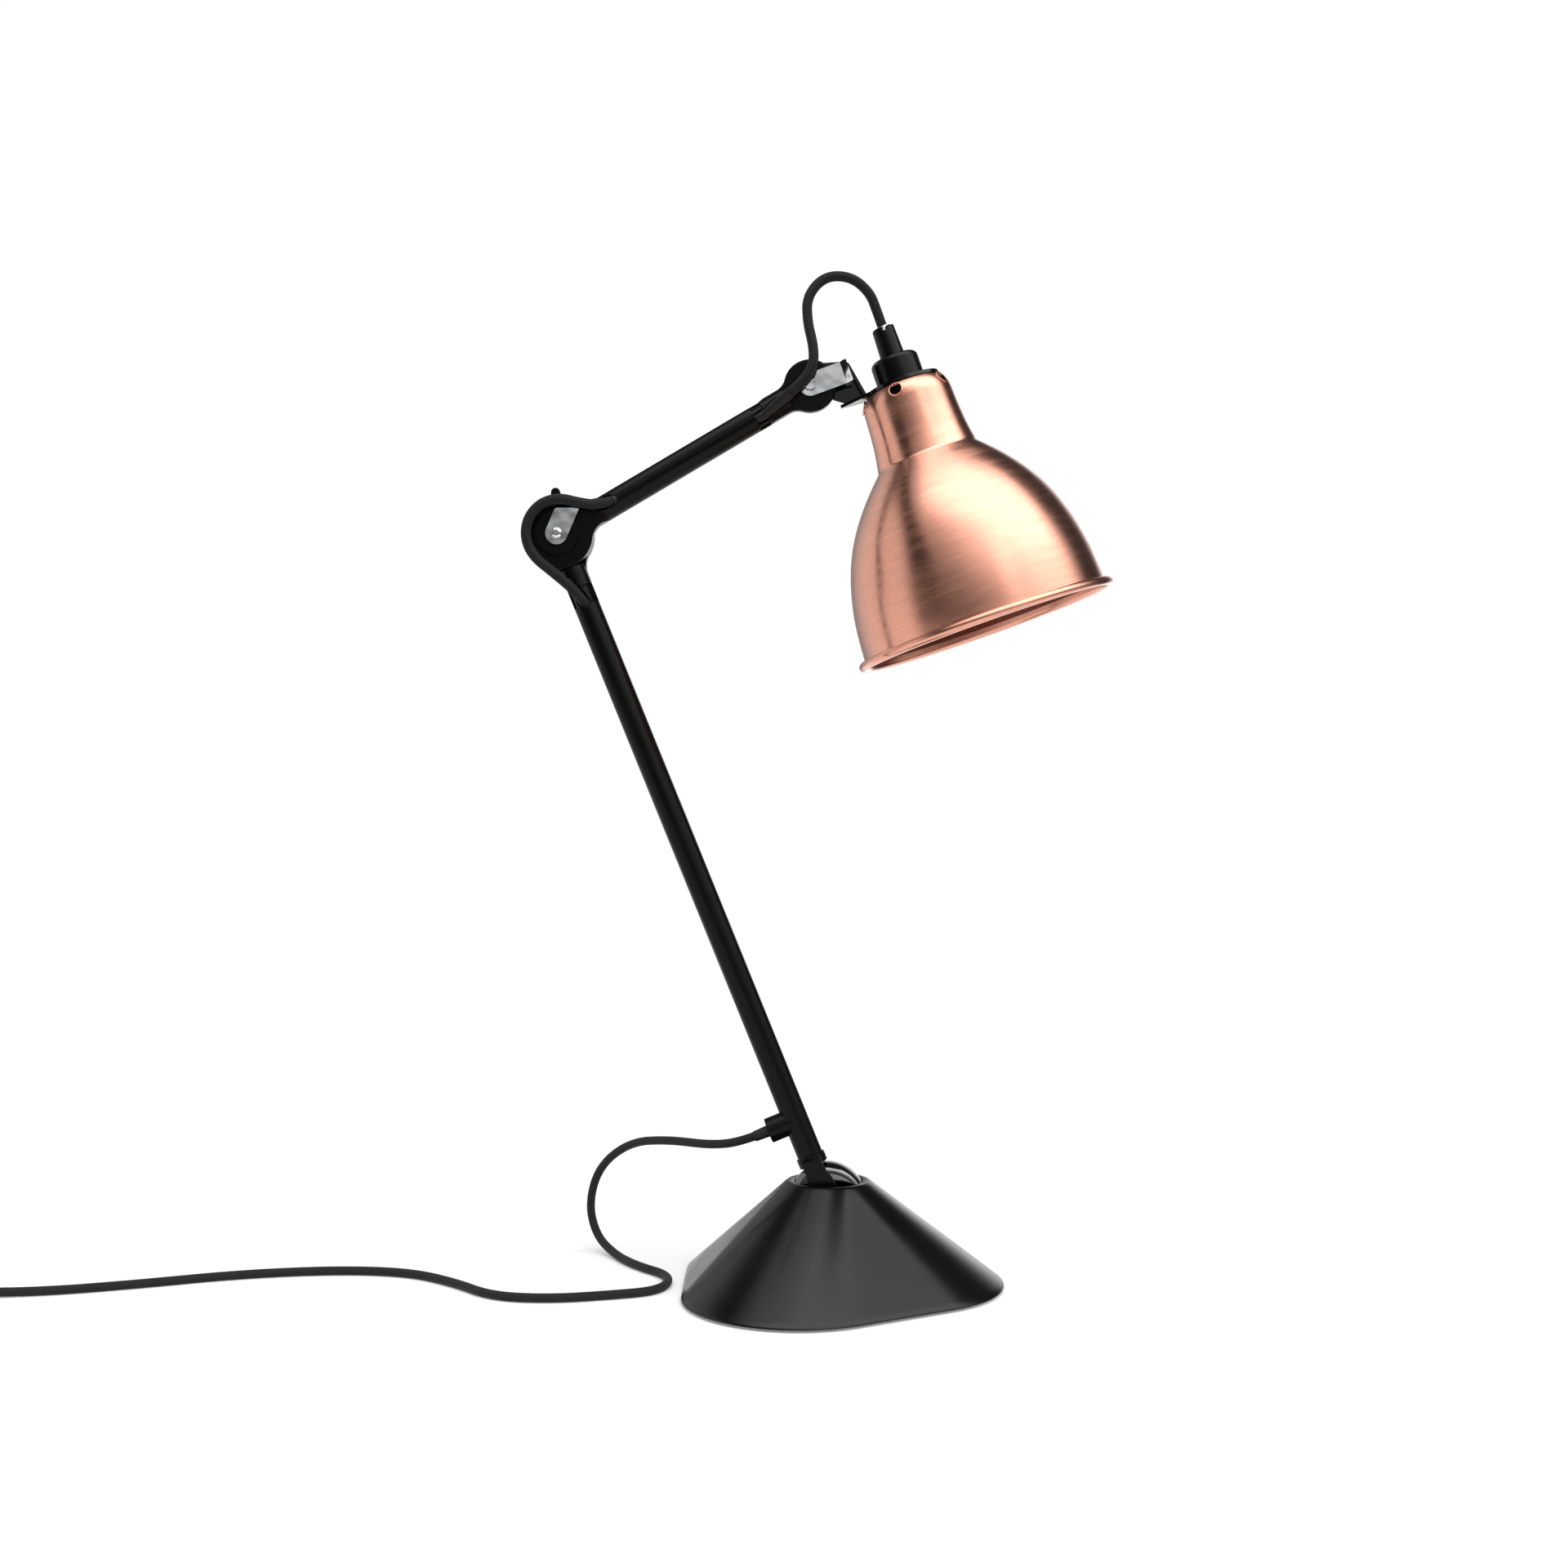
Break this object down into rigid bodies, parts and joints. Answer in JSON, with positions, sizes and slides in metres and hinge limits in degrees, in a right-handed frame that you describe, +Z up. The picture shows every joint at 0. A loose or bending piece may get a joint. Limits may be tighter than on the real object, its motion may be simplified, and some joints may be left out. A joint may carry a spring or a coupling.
{
  "type": "architect desk lamp",
  "caption": "Jointed desk lamp with a heavy three-cornered base, a ball-and-fork swivel, a stem and short upper arm with lever clamps, and a tilting spun bell shade.",
  "frame": {"origin": "centre of the base's underside, on the table, straight under the ball joint", "axes": "+X to the side the shade reaches to, +Y away from the viewer, +Z up; the arm lies in the plane Y = 0"},
  "size_m": [0.6854, 0.1771, 0.5293],
  "materials": {
    "base_paint": "matte black paint on a solid casting",
    "base_felt": "soft black sheet",
    "spring_steel": "oiled steel",
    "gloss_paint": "gloss black paint",
    "satin_paint": "satin black paint",
    "black_plastic": "moulded black plastic",
    "cap_plastic": "half-gloss moulded black plastic",
    "washer_plastic": "fibre washer",
    "polished_metal": "polished",
    "shade_copper": "spun sheet brushed in rings, copper colour",
    "lamp_glass": "clear",
    "cord_braid": "black textile braid",
    "tie_plastic": "soft strap"
  },
  "bodies": {
    "base": {"base_casting": "base_paint", "base_pad": "base_felt", "bearing_cup": "spring_steel", "disc_springs": "spring_steel", "retaining_plug": "spring_steel"},
    "ball": {"swivel_ball": "gloss_paint", "mains_cord": "cord_braid", "mains_cord_coil": "cord_braid", "cord_tie": "tie_plastic", "plug_body": "black_plastic", "plug_pins": "polished_metal"},
    "stem": {"fork": "satin_paint", "fork_pin": "satin_paint", "stem_tube": "satin_paint", "cord_gland": "satin_paint", "gland_bush": "black_plastic", "stem_eye": "satin_paint", "stem_cord_sleeve": "black_plastic", "stem_inner_cord": "cord_braid"},
    "arm": {"arm_eye_low": "satin_paint", "arm_tube": "satin_paint", "arm_eye_high": "satin_paint", "arm_cord_sleeves": "black_plastic", "arm_inner_cord": "cord_braid", "elbow_washer": "washer_plastic", "head_washer": "washer_plastic", "elbow_cord": "cord_braid", "head_cord": "cord_braid"},
    "head": {"shade_bracket": "gloss_paint", "shade": "shade_copper", "holder_cap": "cap_plastic", "cord_collet": "polished_metal", "lamp_holder": "black_plastic", "shade_ring": "black_plastic", "lamp_cap": "polished_metal", "lamp_glass": "lamp_glass", "holder_inner_cord": "cord_braid"},
    "elbow_clamp": {"elbow_lever": "polished_metal", "elbow_bolt": "polished_metal", "elbow_rear_lever": "satin_paint", "elbow_nut": "polished_metal"},
    "head_clamp": {"head_lever": "polished_metal", "head_bolt": "polished_metal", "head_nut": "polished_metal"}
  },
  "joints": [
    {"name": "base_swivel", "type": "hinge", "parent": "base", "child": "ball", "pos_m": [0, 0, 0.0448], "axis": [0, 0, 1], "range_deg": [-170, 170]},
    {"name": "stem_tilt", "type": "hinge", "parent": "ball", "child": "stem", "pos_m": [0, 0, 0.0448], "axis": [0, 1, 0], "range_deg": [-4.9, 49.1], "deforming": ["mains_cord"]},
    {"name": "elbow", "type": "hinge", "parent": "stem", "child": "arm", "pos_m": [-0.14086, 0, 0.39169], "axis": [0, 1, 0], "range_deg": [-75, 20], "deforming": ["elbow_cord"]},
    {"name": "head_tilt", "type": "hinge", "parent": "arm", "child": "head", "pos_m": [-0.00951, 0, 0.46937], "axis": [0, 1, 0], "range_deg": [-75, 20], "deforming": ["head_cord"]},
    {"name": "elbow_lever_turn", "type": "hinge", "parent": "arm", "child": "elbow_clamp", "pos_m": [-0.14086, 0, 0.39169], "axis": [0, 1, 0], "range_deg": [0, 40]},
    {"name": "head_lever_turn", "type": "hinge", "parent": "arm", "child": "head_clamp", "pos_m": [-0.00951, 0, 0.46937], "axis": [0, 1, 0], "range_deg": [0, 40]}
  ]
}
